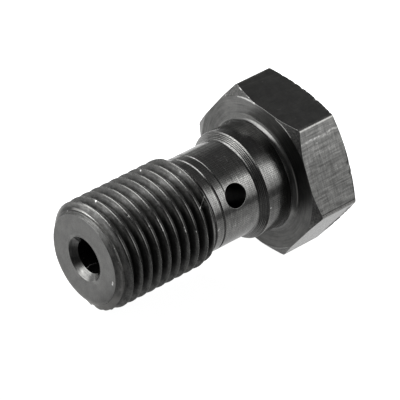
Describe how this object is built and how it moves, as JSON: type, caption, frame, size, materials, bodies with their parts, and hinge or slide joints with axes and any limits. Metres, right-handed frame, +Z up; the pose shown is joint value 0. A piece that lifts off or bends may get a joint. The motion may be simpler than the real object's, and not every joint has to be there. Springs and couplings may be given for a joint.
{
  "type": "banjo bolt",
  "caption": "Hollow metric banjo bolt with a hexagon head, plain collar and neck, fine external thread, axial bore and radial cross hole, lying on its side.",
  "frame": {"origin": "centre of the bounding box, on the surface that the bolt lies on", "axes": "+Z up; +X from the thread's tip to the head, along the floor (the bolt's own axis rises 6.5 degrees from +X towards the head); +Y completes the right-handed frame, along the head's corner-to-corner width"},
  "size_m": [0.0308, 0.0196, 0.0175],
  "materials": {
    "blackened_steel": "turned steel, thin black oxide, satin"
  },
  "bodies": {
    "root": {"banjo_bolt": "blackened_steel"}
  },
  "joints": []
}
